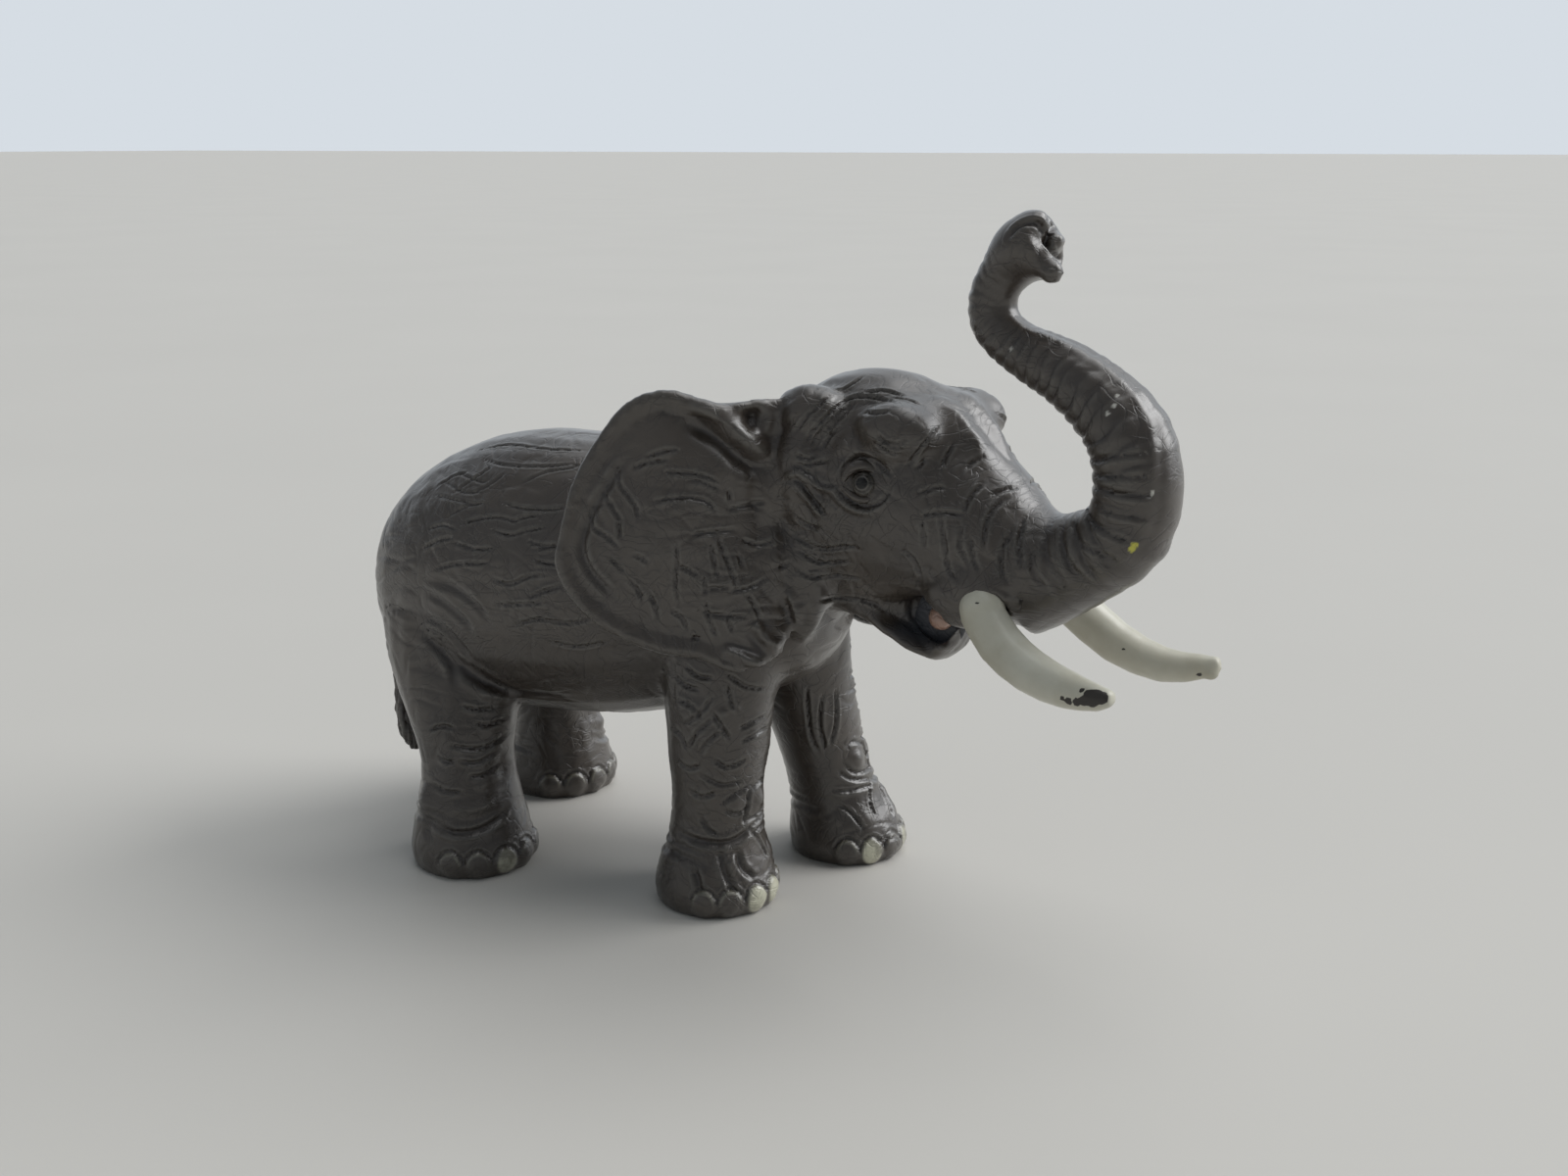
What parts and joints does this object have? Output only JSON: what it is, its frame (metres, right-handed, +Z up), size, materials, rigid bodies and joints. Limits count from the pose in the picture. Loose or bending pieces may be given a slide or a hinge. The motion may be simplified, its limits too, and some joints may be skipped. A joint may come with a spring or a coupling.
{
  "type": "toy_animal_figure",
  "caption": "Toy African elephant figure of moulded PVC, standing with its trunk raised over its head, ears spread and head turned a little to the right",
  "frame": {"origin": "on the ground, under the middle of the figure's bounding box", "axes": "+X from the rump to the raised trunk, +Y to the figure's own left, +Z up"},
  "size_m": [0.1706, 0.066, 0.1255],
  "materials": {
    "hide": "olive grey-brown PVC, semi-gloss, with moulded wrinkles",
    "ivory": "cream paint, lightly chipped and specked at the tips"
  },
  "bodies": {
    "root": {"body_left_shell": "hide", "body_right_shell": "hide", "front_left_leg": "hide", "front_right_leg": "hide", "rear_left_leg": "hide", "rear_right_leg": "hide", "tail": "hide", "head": "hide", "trunk": "hide", "left_ear": "hide", "right_ear": "hide", "left_tusk": "ivory", "right_tusk": "ivory"}
  },
  "joints": []
}
